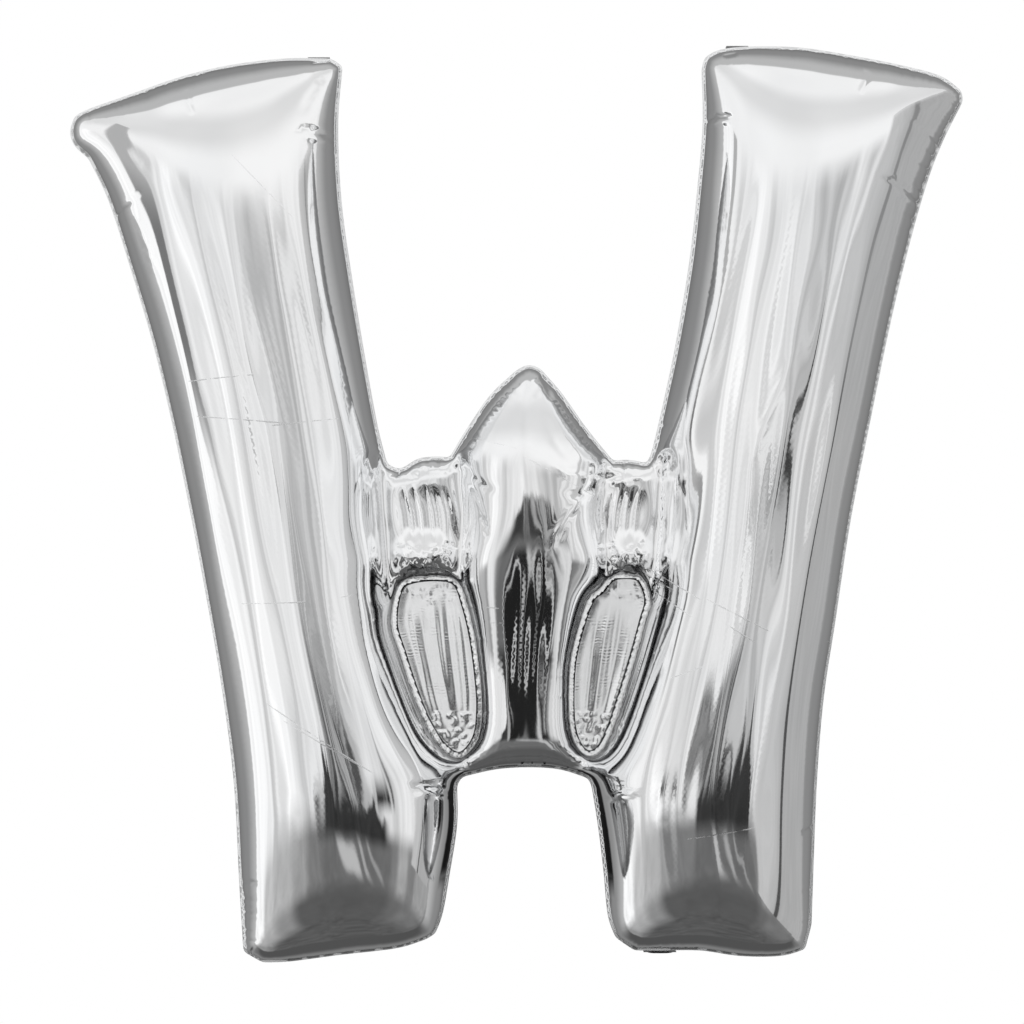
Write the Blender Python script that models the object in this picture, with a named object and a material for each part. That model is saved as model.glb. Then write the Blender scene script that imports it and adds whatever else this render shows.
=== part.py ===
"""Letter foil balloon, an inflated W of mirror-silver film about 84 cm tall.

Two sheets of metallised film are sealed to each other along one outer seam and round two
windows, and blown up. Each sheet bulges into round tubes between its seams, is open at its
rim and sits on the seal band that joins it to the other sheet. Two hang tabs fold over the
top seam and the filler tail folds under the right leg.

The letter stands in the XZ plane and faces -Y. +X is to its right as seen from the front
and +Z is up. The origin is the middle of the letter, in the plane of the seam.
"""
import math

import bmesh
import bpy
import numpy as np
from mathutils.geometry import delaunay_2d_cdt

MM = 0.001

# Outer edge of the letter's seam, clockwise from the left stroke's top corner.
# Each run is a smooth curve through its points, and runs meet at the corners.
OUTLINE_MM = {
    "left_top": [(-405, 356), (-391, 363), (-354, 376), (-308, 392), (-262, 403), (-212, 409), (-169, 409)],
    "left_inner": [(-159, 402), (-163, 348), (-160, 279), (-150, 206), (-138, 133), (-127, 73), (-118, 37)],
    "left_bridge": [(-118, 37), (-106, 33), (-90, 42), (-73, 44), (-61, 43)],
    "peak_left": [(-61, 43), (-46, 68), (-24, 100), (0, 123)],
    "peak_top": [(0, 123), (11, 128), (22, 125)],
    "peak_right": [(22, 125), (42, 102), (64, 71), (89, 40)],
    "right_bridge": [(89, 40), (103, 41), (120, 38)],
    "right_inner": [(120, 38), (125, 51), (136, 98), (147, 151), (159, 224), (166, 288), (171, 348), (170, 400)],
    "right_top": [(173, 410), (187, 417), (215, 420), (260, 419), (306, 412), (352, 403), (389, 393), (409, 379)],
    "right_outer": [(410, 370), (392, 334), (378, 298), (362, 243), (344, 169), (325, 77),
                    (307, -14), (293, -106), (282, -179), (276, -253), (273, -326), (271, -386)],
    "right_foot": [(265, -408), (242, -414), (205, -414), (169, -409), (132, -409), (108, -409)],
    "right_leg_inner": [(91, -397), (84, -376), (80, -335), (75, -294), (69, -257)],
    "arch": [(66, -251), (40, -243), (11, -241), (-19, -243), (-50, -250)],
    "left_leg_inner": [(-54, -257), (-54, -294), (-61, -340), (-67, -374), (-74, -394)],
    "left_foot": [(-83, -399), (-110, -407), (-161, -413), (-207, -419), (-233, -420)],
    "left_outer": [(-250, -410), (-254, -344), (-259, -253), (-271, -161), (-287, -69), (-301, 4),
                   (-316, 77), (-334, 151), (-356, 224), (-374, 279), (-392, 317)],
    "left_corner": [(-392, 317), (-405, 329), (-409, 342), (-405, 356)],
}
# Seam round each window, where the two sheets stay flat against each other.
WINDOWS_MM = {
    "left": [(-108, -77), (-95, -68), (-70, -66), (-54, -71), (-46, -91), (-39, -120), (-34, -156),
             (-32, -188), (-36, -215), (-50, -231), (-65, -225), (-79, -206), (-92, -176),
             (-105, -137), (-113, -108)],
    "right": [(77, -78), (88, -66), (105, -64), (116, -69), (122, -88), (117, -108), (108, -141),
              (97, -177), (88, -204), (79, -223), (68, -230), (58, -224), (51, -207), (49, -179),
              (51, -143), (59, -110), (68, -86)],
}

# Folds that hold the film low between a stroke, a bridge and the middle tube: the path and
# the half depth and half width that the film keeps along it, all in millimetres.
HOLD_LINES_MM = [
    ([(-126, 40), (-120, -10), (-114, -84)], 24, 5),
    ([(-54, 44), (-50, -10), (-54, -74)], 22, 4),
    ([(84, 44), (80, -10), (86, -72)], 22, 4),
    ([(136, 40), (130, -10), (122, -84)], 24, 5),
    ([(-114, -26), (-88, -34), (-58, -30)], 11, 4.5),
    ([(86, -30), (104, -34), (124, -26)], 11, 4.5),
]
HOLD_STRENGTH = 4e5
HOLD_ROWS = (-13 * MM, 0.0, 13 * MM)
HOLD_STEP = 13 * MM

SEAL_WIDTH = 6.0 * MM
SEAL_OUTSIDE = 4.0 * MM
SEAL_THICKNESS = 1.2 * MM
FILM_THICKNESS = 1.5 * MM
GAP = 0.3 * MM
SEAM_STEP = 22 * MM
CORNER_STEP = 11 * MM
WINDOW_STEP = 15 * MM
SURFACE_STEP = 26 * MM
RING_INSETS = (3 * MM, 12 * MM)

WEB_THICKNESS = 0.9 * MM

TAB_WIDTH = 20 * MM
TAB_LENGTH = 26 * MM
TAB_THICKNESS = 0.8 * MM
TAB_HOLE_RADIUS = 3 * MM
TAB_X = {"left": -181 * MM, "right": 203 * MM}

TAIL_X = 132 * MM
TAIL_WIDTH = 30 * MM
TAIL_LENGTH = 58 * MM
TAIL_THICKNESS = 2.4 * MM
TAIL_WALL = 0.6 * MM
SLEEVE_WIDTH = 18 * MM
SLEEVE_START = 8 * MM
SLEEVE_LENGTH = 57 * MM


def clear_scene():
    for old in list(bpy.data.objects):
        bpy.data.objects.remove(old, do_unlink=True)


def make_collection(name):
    group = bpy.data.collections.new(name)
    bpy.context.scene.collection.children.link(group)
    return group


def finish_material(name, colour, roughness, metallic):
    made = bpy.data.materials.new(name)
    made.use_nodes = True
    shader = made.node_tree.nodes["Principled BSDF"]
    shader.inputs["Base Color"].default_value = (*colour, 1.0)
    shader.inputs["Roughness"].default_value = roughness
    shader.inputs["Metallic"].default_value = metallic
    made.diffuse_color = (*colour, 1.0)
    return made


# Plane curves

def smooth_curve(points, closed=False, samples=24):
    """Dense points of a smooth curve through the given points."""
    points = np.asarray(points, float)
    count = len(points)
    if closed:
        padded = np.vstack([points[-1], points, points[0], points[1]])
        spans = count
    else:
        first = 2 * points[0] - points[1]
        last = 2 * points[-1] - points[-2]
        padded = np.vstack([first, points, last])
        spans = count - 1
    t = np.linspace(0, 1, samples, endpoint=False)[:, None]
    dense = []
    for span in range(spans):
        a, b, c, d = padded[span:span + 4]
        dense.append(0.5 * (2 * b + (c - a) * t + (2 * a - 5 * b + 4 * c - d) * t ** 2
                            + (3 * b - a - 3 * c + d) * t ** 3))
    if not closed:
        dense.append(points[-1:])
    return np.vstack(dense)


def even_steps(dense, step, closed=False):
    """Points at equal steps along a dense curve, without its last point."""
    if closed:
        dense = np.vstack([dense, dense[:1]])
    lengths = np.r_[0, np.cumsum(np.linalg.norm(np.diff(dense, axis=0), axis=1))]
    count = max(2 if closed else 1, round(lengths[-1] / step))
    wanted = np.linspace(0, lengths[-1], count, endpoint=False)
    return np.column_stack([np.interp(wanted, lengths, dense[:, axis]) for axis in (0, 1)])


def letter_outline():
    runs = []
    names = list(OUTLINE_MM)
    for name, following in zip(names, names[1:] + names[:1]):
        run = np.asarray(OUTLINE_MM[name], float) * MM
        length = np.linalg.norm(np.diff(run, axis=0), axis=1).sum()
        step = SEAM_STEP if length > 5 * SEAM_STEP else CORNER_STEP
        stepped = even_steps(smooth_curve(run), step)
        next_start = np.asarray(OUTLINE_MM[following][0], float) * MM
        if np.linalg.norm(next_start - run[-1]) > 0.5 * MM:
            stepped = np.vstack([stepped, run[-1:]])
        runs.append(stepped)
    return np.vstack(runs)[::-1]


def window_outline(side):
    points = np.asarray(WINDOWS_MM[side], float) * MM
    loop = even_steps(smooth_curve(points, closed=True), WINDOW_STEP, closed=True)
    return loop if signed_area(loop) > 0 else loop[::-1]


def signed_area(loop):
    x, z = loop.T
    return 0.5 * np.sum(x * np.roll(z, -1) - np.roll(x, -1) * z)


def moved_inwards(loop, distance):
    """The loop, anticlockwise, with each point moved to its left by the distance."""
    back = loop - np.roll(loop, 1, axis=0)
    ahead = np.roll(loop, -1, axis=0) - loop
    back /= np.linalg.norm(back, axis=1)[:, None]
    ahead /= np.linalg.norm(ahead, axis=1)[:, None]
    along = back + ahead
    along /= np.linalg.norm(along, axis=1)[:, None]
    mitre = np.clip(np.sum(along * ahead, axis=1), 0.6, 1.0)
    left = np.column_stack([-along[:, 1], along[:, 0]])
    return loop + left * (distance / mitre)[:, None]


# The inflated surface

def is_inside(points, loop):
    x, z = points[:, 0], points[:, 1]
    inside = np.zeros(len(points), bool)
    for (ax, az), (bx, bz) in zip(loop, np.roll(loop, -1, axis=0)):
        crosses = (az > z) != (bz > z)
        if az != bz:
            inside ^= crosses & (x < ax + (bx - ax) * (z - az) / (bz - az))
    return inside


def distance_to(points, loop):
    nearest = np.full(len(points), np.inf)
    for start, end in zip(loop, np.roll(loop, -1, axis=0)):
        run = end - start
        share = np.clip((points - start) @ run / (run @ run), 0, 1)
        nearest = np.minimum(nearest, np.linalg.norm(points - start - share[:, None] * run, axis=1))
    return nearest


def distance_to_path(points, path):
    nearest = np.full(len(points), np.inf)
    for start, end in zip(path, path[1:]):
        run = end - start
        share = np.clip((points - start) @ run / (run @ run), 0, 1)
        nearest = np.minimum(nearest, np.linalg.norm(points - start - share[:, None] * run, axis=1))
    return nearest


def surface_points(seams):
    """Points between the seams: rings close to each seam, rows along the folds, then rows
    of equal triangles."""
    outer = seams[0]
    kept = np.empty((0, 2))

    def add(candidates, from_seam, spacing):
        nonlocal kept
        ok = is_inside(candidates, outer)
        ok &= np.min([distance_to(candidates, seam) for seam in seams], axis=0) > from_seam
        for window in seams[1:]:
            ok &= ~is_inside(candidates, window)
        for point in candidates[ok]:
            if len(kept) == 0 or np.min(np.linalg.norm(kept - point, axis=1)) > spacing:
                kept = np.vstack([kept, point])

    for inset in RING_INSETS:
        for number, seam in enumerate(seams):
            ring = moved_inwards(seam, inset if number == 0 else -inset)
            add(ring, 0.85 * inset, 0.4 * CORNER_STEP + 0.2 * inset)
    for path, _, _ in HOLD_LINES_MM:
        line = even_steps(smooth_curve(np.array(path) * MM), HOLD_STEP)
        along = np.gradient(line, axis=0)
        along /= np.linalg.norm(along, axis=1)[:, None]
        for row in HOLD_ROWS:
            add(line + row * np.column_stack([-along[:, 1], along[:, 0]]), 0.7 * HOLD_STEP, 0.6 * HOLD_STEP)
    low, high = outer.min(axis=0), outer.max(axis=0)
    rows = np.arange(low[1], high[1], SURFACE_STEP * math.sqrt(3) / 2)
    grid = []
    for number, z in enumerate(rows):
        shift = SURFACE_STEP / 2 * (number % 2)
        grid += [(x, z) for x in np.arange(low[0] + shift, high[0], SURFACE_STEP)]
    add(np.array(grid), RING_INSETS[-1] + 0.45 * SURFACE_STEP, 0.5 * SURFACE_STEP)
    return kept


def triangulate(seams):
    """Points, triangles and the number of seam points, which come first."""
    inner = surface_points(seams)
    points = np.vstack([*seams, inner])
    edges = []
    start = 0
    for seam in seams:
        count = len(seam)
        edges += [(start + i, start + (i + 1) % count) for i in range(count)]
        start += count
    found = delaunay_2d_cdt([tuple(p) for p in points], edges, [], 0, 1e-7)
    made, faces, origins = found[0], found[2], found[3]
    back = {number: origin[0] for number, origin in enumerate(origins) if origin}
    if len(back) != len(made) or len(made) != len(points):
        raise ValueError("the seam lines cross each other")
    triangles = np.array([[back[corner] for corner in face] for face in faces])
    middles = points[triangles].mean(axis=1)
    keep = is_inside(middles, seams[0])
    for window in seams[1:]:
        keep &= ~is_inside(middles, window)
    triangles = triangles[keep]
    a, b, c = (points[triangles[:, i]] for i in range(3))
    turn = (b[:, 0] - a[:, 0]) * (c[:, 1] - a[:, 1]) - (b[:, 1] - a[:, 1]) * (c[:, 0] - a[:, 0])
    triangles[turn < 0] = triangles[turn < 0][:, ::-1]
    return points, triangles, start


def inflated_depth(points, triangles, seam_count):
    """Half depth of the letter at each point, which is round across a long tube.

    A film held at its seams and pushed out evenly follows a membrane's equation, and twice
    the square root of its height makes the section of a straight tube a true circle. Along
    a fold the film is drawn to the fold's own half depth.
    """
    total = len(points)
    stiffness = np.zeros((total, total))
    load = np.zeros(total)
    corners = [points[triangles[:, i]] for i in range(3)]
    twice_area = np.abs((corners[1][:, 0] - corners[0][:, 0]) * (corners[2][:, 1] - corners[0][:, 1])
                        - (corners[1][:, 1] - corners[0][:, 1]) * (corners[2][:, 0] - corners[0][:, 0]))
    for k in range(3):
        i, j, o = triangles[:, k], triangles[:, (k + 1) % 3], triangles[:, (k + 2) % 3]
        to_i = points[i] - points[o]
        to_j = points[j] - points[o]
        weight = 0.5 * np.sum(to_i * to_j, axis=1) / twice_area
        np.add.at(stiffness, (i, j), -weight)
        np.add.at(stiffness, (j, i), -weight)
        np.add.at(stiffness, (i, i), weight)
        np.add.at(stiffness, (j, j), weight)
        np.add.at(load, i, twice_area / 6)
    area = load.copy()
    for path, half_depth, half_width in HOLD_LINES_MM:
        away = distance_to_path(points, np.array(path) * MM)
        hold = HOLD_STRENGTH * area * np.exp(-(away / (half_width * MM)) ** 2)
        stiffness[np.arange(total), np.arange(total)] += hold
        load += hold * (half_depth * MM) ** 2 / 2
    free = slice(seam_count, total)
    height = np.zeros(total)
    height[free] = np.linalg.solve(stiffness[free, free], load[free])
    return np.sqrt(2 * np.maximum(height, 0))


def film_mesh(name, points, triangles, depth, seam_count, seam_lengths, side):
    """A closed wall: the outer surface, the same surface one thickness in, and the flat rim."""
    rim = SEAL_THICKNESS / 2 + GAP
    outer = np.column_stack([points[:, 0], side * (rim + depth), points[:, 1]])
    faces = triangles if side < 0 else triangles[:, ::-1]
    a, b, c = (outer[faces[:, i]] for i in range(3))
    face_normals = np.cross(b - a, c - a)
    normals = np.zeros_like(outer)
    for k in range(3):
        np.add.at(normals, faces[:, k], face_normals)
    normals[:seam_count, 1] = 0
    normals /= np.linalg.norm(normals, axis=1)[:, None]
    inner = outer - normals * FILM_THICKNESS
    inner[:seam_count, 1] = side * rim

    mesh = bmesh.new()
    out_verts = [mesh.verts.new(p) for p in outer]
    in_verts = [mesh.verts.new(p) for p in inner]
    for face in faces:
        mesh.faces.new([out_verts[i] for i in face])
        mesh.faces.new([in_verts[i] for i in face[::-1]])
    start = 0
    for count in seam_lengths:
        for i in range(count):
            here, there = start + i, start + (i + 1) % count
            mesh.faces.new([out_verts[here], out_verts[there], in_verts[there], in_verts[here]])
        start += count
    bmesh.ops.recalc_face_normals(mesh, faces=mesh.faces)
    bmesh.ops.triangulate(mesh, faces=[f for f in mesh.faces if len(f.verts) > 3])
    data = bpy.data.meshes.new(name)
    mesh.to_mesh(data)
    mesh.free()
    data.shade_smooth()
    return data


def place(group, name, data, material):
    made = bpy.data.objects.new(name, data)
    data.materials.append(material)
    group.objects.link(made)
    return made


def flat_piece(group, name, loops, thickness, material):
    """A flat sheet cut to the first loop, with the other loops as holes, in its own XY plane."""
    curve = bpy.data.curves.new(name, "CURVE")
    curve.dimensions = "2D"
    curve.fill_mode = "BOTH"
    curve.extrude = thickness / 2
    for loop in loops:
        spline = curve.splines.new("POLY")
        spline.points.add(len(loop) - 1)
        for point, (x, y) in zip(spline.points, loop):
            point.co = (x, y, 0, 1)
        spline.use_cyclic_u = True
    return place(group, name, curve, material)


def stand_up(piece):
    """Turns a flat piece from its own XY plane into the letter's XZ plane."""
    piece.rotation_euler = (math.radians(90), 0, 0)


def arc(centre, radius, start, end, count):
    angles = np.radians(np.linspace(start, end, count))
    return [(centre[0] + radius * math.cos(a), centre[1] + radius * math.sin(a)) for a in angles]


def hang_tab(group, side, hinge_z, material):
    """A tongue with a punched hole, folded back over the seam. Its origin is on the fold."""
    half = TAB_WIDTH / 2
    tip = arc((0, TAB_LENGTH - half), half, 0, 180, 13)
    hole = arc((0, TAB_LENGTH - half), TAB_HOLE_RADIUS, 0, 345, 24)
    tab = flat_piece(group, f"{side}_hang_tab", [[(-half, 0), (half, 0), *tip], hole],
                     TAB_THICKNESS, material)
    tab.location = (TAB_X[side], 0, hinge_z)


def box(group, name, low, high, material):
    bpy.ops.mesh.primitive_cube_add(size=1)
    made = bpy.context.object
    made.name = made.data.name = name
    for owner in list(made.users_collection):
        owner.objects.unlink(made)
    group.objects.link(made)
    low, high = np.asarray(low), np.asarray(high)
    for vertex in made.data.vertices:
        vertex.co = (low + high) / 2 + np.asarray(vertex.co) * (high - low)
    if material:
        made.data.materials.append(material)
    return made


def filler_tail(group, cutters, hinge_z, material, sleeve_material):
    """A flat tube of film, folded back under the leg, with the valve's sleeve inside it."""
    half_width, half_thickness = TAIL_WIDTH / 2, TAIL_THICKNESS / 2
    tail = box(group, "filler_tail", (-half_width, 0, -half_thickness),
               (half_width, TAIL_LENGTH, half_thickness), material)
    tail.location = (TAIL_X, 0, hinge_z)
    bore = box(cutters, "tail_bore", (-half_width + TAIL_WALL, -TAIL_LENGTH, -half_thickness + TAIL_WALL),
               (half_width - TAIL_WALL, 2 * TAIL_LENGTH, half_thickness - TAIL_WALL), None)
    bore.location = tail.location
    bore.hide_render = True
    bore.display_type = "WIRE"
    cut = tail.modifiers.new("open_bore", "BOOLEAN")
    cut.operation = "DIFFERENCE"
    cut.object = bore
    sleeve_half = (TAIL_THICKNESS / 2 - TAIL_WALL - GAP)
    sleeve = box(group, "valve_sleeve", (-SLEEVE_WIDTH / 2, SLEEVE_START, -sleeve_half),
                 (SLEEVE_WIDTH / 2, SLEEVE_START + SLEEVE_LENGTH, sleeve_half), sleeve_material)
    sleeve.location = tail.location


def edge_height(loop, x, top):
    """Height of the loop's highest or lowest edge at x."""
    heights = []
    for (ax, az), (bx, bz) in zip(loop, np.roll(loop, -1, axis=0)):
        if min(ax, bx) <= x <= max(ax, bx) and ax != bx:
            heights.append(az + (bz - az) * (x - ax) / (bx - ax))
    return max(heights) if top else min(heights)


def edge_limit(loop, x, half_width, top):
    """The highest or lowest edge over a width about x."""
    spots = np.linspace(x - half_width, x + half_width, 9)
    heights = [edge_height(loop, spot, top) for spot in spots]
    return max(heights) if top else min(heights)


def build():
    clear_scene()
    letter = make_collection("letter_foil_balloon")
    cutters = make_collection("cutters")
    film = finish_material("silver_film", (0.80, 0.81, 0.82), 0.12, 1.0)
    seal = finish_material("sealed_edge", (0.72, 0.73, 0.74), 0.22, 1.0)
    clear_film = finish_material("valve_film", (0.78, 0.80, 0.82), 0.25, 0.0)

    outer_edge = letter_outline()
    seam = moved_inwards(outer_edge, SEAL_OUTSIDE)
    windows = {side: window_outline(side) for side in ("left", "right")}
    seams = [seam, *windows.values()]
    points, triangles, seam_count = triangulate(seams)
    depth = inflated_depth(points, triangles, seam_count)
    seam_lengths = [len(loop) for loop in seams]
    for name, side in (("front_film", -1), ("back_film", 1)):
        data = film_mesh(name, points, triangles, depth, seam_count, seam_lengths, side)
        place(letter, name, data, film)

    band = [outer_edge, moved_inwards(outer_edge, SEAL_WIDTH)]
    stand_up(flat_piece(letter, "outer_seal", band, SEAL_THICKNESS, seal))
    for side, window in windows.items():
        ring = [moved_inwards(window, SEAL_OUTSIDE - SEAL_WIDTH), moved_inwards(window, SEAL_OUTSIDE)]
        stand_up(flat_piece(letter, f"{side}_window_seal", ring, SEAL_THICKNESS, seal))
        web = [moved_inwards(window, SEAL_OUTSIDE + GAP)]
        stand_up(flat_piece(letter, f"{side}_web", web, WEB_THICKNESS, film))

    for side, x in TAB_X.items():
        top = edge_limit(outer_edge, x, TAB_WIDTH / 2, True)
        hang_tab(letter, side, top + GAP + TAB_THICKNESS / 2, seal)
    foot = edge_limit(outer_edge, TAIL_X, TAIL_WIDTH / 2, False)
    filler_tail(letter, cutters, foot - GAP - TAIL_THICKNESS / 2, film, clear_film)


build()
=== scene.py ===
import math
import bpy
import numpy as np
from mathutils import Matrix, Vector, kdtree
from mathutils.geometry import delaunay_2d_cdt


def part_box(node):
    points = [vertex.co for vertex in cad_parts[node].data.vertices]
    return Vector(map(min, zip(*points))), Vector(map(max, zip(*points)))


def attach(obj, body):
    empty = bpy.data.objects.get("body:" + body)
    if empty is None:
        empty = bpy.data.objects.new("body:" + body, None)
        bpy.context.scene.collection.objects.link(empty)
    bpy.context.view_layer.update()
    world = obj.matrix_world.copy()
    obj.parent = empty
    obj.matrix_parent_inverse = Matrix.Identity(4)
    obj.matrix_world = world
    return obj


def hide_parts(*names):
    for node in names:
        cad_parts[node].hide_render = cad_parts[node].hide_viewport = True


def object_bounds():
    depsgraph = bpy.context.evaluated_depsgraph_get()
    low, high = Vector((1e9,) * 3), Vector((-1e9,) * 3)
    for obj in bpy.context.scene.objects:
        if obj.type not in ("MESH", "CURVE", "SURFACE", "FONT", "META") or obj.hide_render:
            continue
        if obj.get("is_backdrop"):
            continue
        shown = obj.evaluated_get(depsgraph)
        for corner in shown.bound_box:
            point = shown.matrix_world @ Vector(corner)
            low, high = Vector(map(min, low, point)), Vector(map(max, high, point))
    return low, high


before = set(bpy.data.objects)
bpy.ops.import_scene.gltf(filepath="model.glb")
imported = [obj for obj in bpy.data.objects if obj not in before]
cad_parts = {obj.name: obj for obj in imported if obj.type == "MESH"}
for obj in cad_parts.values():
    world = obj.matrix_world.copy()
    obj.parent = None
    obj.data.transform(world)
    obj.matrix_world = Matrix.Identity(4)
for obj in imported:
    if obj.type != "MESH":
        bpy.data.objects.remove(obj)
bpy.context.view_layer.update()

MM = 0.001

# Camera: square on to the front of the letter, level with its middle, far enough back that
# the strokes' sides show as little as they do in the photograph.
PICTURE_WIDTH = 0.939
CAMERA_DISTANCE = 3.5


def add_object(name, data):
    made = bpy.data.objects.new(name, data)
    bpy.context.scene.collection.objects.link(made)
    return made


camera_data = bpy.data.cameras.new("front_camera")
camera_data.sensor_width = 36
camera_data.lens = 36 * CAMERA_DISTANCE / PICTURE_WIDTH
camera = add_object("front_camera", camera_data)
camera.location = (-0.0037, -CAMERA_DISTANCE, -0.0069)
camera.rotation_euler = (math.radians(90), 0, 0)
bpy.context.scene.camera = camera


# Seam lines: the two sheets of film are heat-sealed to each other along the letter's edge
# and round two windows. Runs go clockwise from the left stroke's top corner, and the table of
# puckers further down goes by their names.
LETTER_EDGE_MM = {
    "left_top": [(-405, 356), (-391, 363), (-354, 376), (-308, 392), (-262, 403), (-212, 409), (-169, 409)],
    "left_inner": [(-159, 402), (-163, 348), (-160, 279), (-150, 206), (-138, 133), (-127, 73), (-118, 37)],
    "left_bridge": [(-118, 37), (-106, 33), (-90, 42), (-73, 44), (-61, 43)],
    "peak_left": [(-61, 43), (-46, 68), (-24, 100), (0, 123)],
    "peak_top": [(0, 123), (11, 128), (22, 125)],
    "peak_right": [(22, 125), (42, 102), (64, 71), (89, 40)],
    "right_bridge": [(89, 40), (103, 41), (120, 38)],
    "right_inner": [(120, 38), (125, 51), (136, 98), (147, 151), (159, 224), (166, 288), (171, 348),
                    (170, 400)],
    "right_top": [(173, 410), (187, 417), (215, 420), (260, 419), (306, 412), (352, 403), (389, 393),
                  (409, 379)],
    "right_outer": [(410, 370), (392, 334), (378, 298), (362, 243), (344, 169), (325, 77),
                    (307, -14), (293, -106), (282, -179), (276, -253), (273, -326), (271, -386)],
    "right_foot": [(265, -408), (242, -414), (205, -414), (169, -409), (132, -409), (108, -409)],
    "right_leg_inner": [(91, -397), (84, -376), (80, -335), (75, -294), (69, -257)],
    "arch": [(66, -251), (40, -243), (11, -241), (-19, -243), (-50, -250)],
    "left_leg_inner": [(-54, -257), (-54, -294), (-61, -340), (-67, -374), (-74, -394)],
    "left_foot": [(-83, -399), (-110, -407), (-161, -413), (-207, -419), (-233, -420)],
    "left_outer": [(-250, -410), (-254, -344), (-259, -253), (-271, -161), (-287, -69), (-301, 4),
                   (-316, 77), (-334, 151), (-356, 224), (-374, 279), (-392, 317)],
    "left_corner": [(-392, 317), (-405, 329), (-409, 342), (-405, 356)],
}
WINDOW_EDGE_MM = {
    "left": [(-108, -77), (-95, -68), (-70, -66), (-54, -71), (-46, -91), (-39, -120), (-34, -156),
             (-32, -188), (-36, -215), (-50, -231), (-65, -225), (-79, -206), (-92, -176),
             (-105, -137), (-113, -108)],
    "right": [(77, -78), (88, -66), (105, -64), (116, -69), (122, -88), (117, -108), (108, -141),
              (97, -177), (88, -204), (79, -223), (68, -230), (58, -224), (51, -207), (49, -179),
              (51, -143), (59, -110), (68, -86)],
}
FLANGE = 2.4 * MM
SEAM_STEP = 1.8 * MM
FINE_STEP = 0.5 * MM
CORNER_ROUNDINGS = 12


def smooth_run(points, closed=False, samples=24):
    """Dense points of a smooth curve through the given points."""
    points = np.asarray(points, float)
    if closed:
        padded = np.vstack([points[-1], points, points[0], points[1]])
    else:
        padded = np.vstack([2 * points[0] - points[1], points, 2 * points[-1] - points[-2]])
    t = np.linspace(0, 1, samples, endpoint=False)[:, None]
    dense = []
    for a, b, c, d in zip(padded, padded[1:], padded[2:], padded[3:]):
        dense.append(0.5 * (2 * b + (c - a) * t + (2 * a - 5 * b + 4 * c - d) * t ** 2
                            + (3 * b - a - 3 * c + d) * t ** 3))
    if not closed:
        dense.append(points[-1:])
    return np.vstack(dense)


def spaced(dense, step, closed=False):
    """Points at equal steps along a dense curve, without its last point."""
    if closed:
        dense = np.vstack([dense, dense[:1]])
    lengths = np.r_[0, np.cumsum(np.linalg.norm(np.diff(dense, axis=0), axis=1))]
    count = max(3, round(lengths[-1] / step))
    wanted = np.linspace(0, lengths[-1], count, endpoint=False)
    return np.column_stack([np.interp(wanted, lengths, dense[:, axis]) for axis in (0, 1)])


def unit(rows):
    return rows / np.linalg.norm(rows, axis=1)[:, None]


def loop_normals(loop, reach=3):
    """Unit vectors that point to the left of an anticlockwise loop, which is inwards."""
    along = unit(np.roll(loop, -reach, axis=0) - np.roll(loop, reach, axis=0))
    return np.column_stack([-along[:, 1], along[:, 0]])


def near_tree(points):
    tree = kdtree.KDTree(len(points))
    for number, (x, z) in enumerate(points):
        tree.insert((x, z, 0), number)
    tree.balance()
    return tree


def away_from(tree, points):
    """How far each point is from the nearest of the tree's points."""
    return np.array([tree.find((x, z, 0))[2] for x, z in points])


def offset_loop(loop, distance, step):
    """The loop moved inwards, without the parts that a tight inner corner would fold over."""
    moved = loop + loop_normals(loop) * distance
    true = away_from(near_tree(loop), moved)
    return spaced(moved[true > abs(distance) * 0.96], step, closed=True)


edge_runs = [spaced(smooth_run(np.array(run) * MM), FINE_STEP) for run in LETTER_EDGE_MM.values()]
letter_edge = spaced(np.vstack(edge_runs)[::-1], 1 * MM, closed=True)
for _ in range(CORNER_ROUNDINGS):
    letter_edge = 0.25 * np.roll(letter_edge, 1, 0) + 0.5 * letter_edge + 0.25 * np.roll(letter_edge, -1, 0)
run_names = list(LETTER_EDGE_MM)
run_tree = near_tree(np.vstack(edge_runs))
run_of_sample = np.repeat(np.arange(len(edge_runs)), [len(run) for run in edge_runs])

letter_seam = offset_loop(letter_edge, FLANGE, SEAM_STEP)
window_seams = {}
for window, run in WINDOW_EDGE_MM.items():
    dense = smooth_run(np.array(run) * MM, closed=True)
    x, z = dense.T
    if np.sum(x * np.roll(z, -1) - np.roll(x, -1) * z) < 0:
        dense = dense[::-1]
    window_seams[window] = spaced(dense, SEAM_STEP, closed=True)


# Film plan: the letter's flat shape between its seams, covered with triangles whose rows
# crowd together towards each seam, where the blown-up film turns down to it.
ROW_INSETS_MM = (0.10, 0.42, 0.95, 1.7, 2.7, 4.0, 5.8, 8.2, 11.4, 15.4)
INNER_STEP = 3.7 * MM
# Finer triangles where the film crumples: left, right, bottom, top and step in millimetres.
CRUMPLED_MM = [(-128, -42, -78, 40, 1.9), (72, 134, -78, 40, 1.9), (-45, 72, -2, 60, 2.5)]
CELL = 0.006
SOLVER_STEPS, SOLVER_PRECISION = 4000, 1e-7
# Folds between the strokes, the bridges and the middle tube: path, half depth and half
# width in millimetres, and how hard the fold holds the film.
HOLD_LINES = [
    ([(-124, 42), (-120, -10), (-115, -84)], 13, 3.5, 8e5),
    ([(-54, 44), (-50, -10), (-54, -74)], 14, 3.5, 8e5),
    ([(84, 44), (80, -10), (86, -72)], 14, 3.5, 8e5),
    ([(134, 42), (130, -10), (123, -84)], 13, 3.5, 8e5),
    ([(-102, -6), (-86, -8), (-70, -6)], 17, 15, 3e5),
    ([(96, -6), (105, -8), (114, -6)], 16, 14, 3e5),
]


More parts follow.
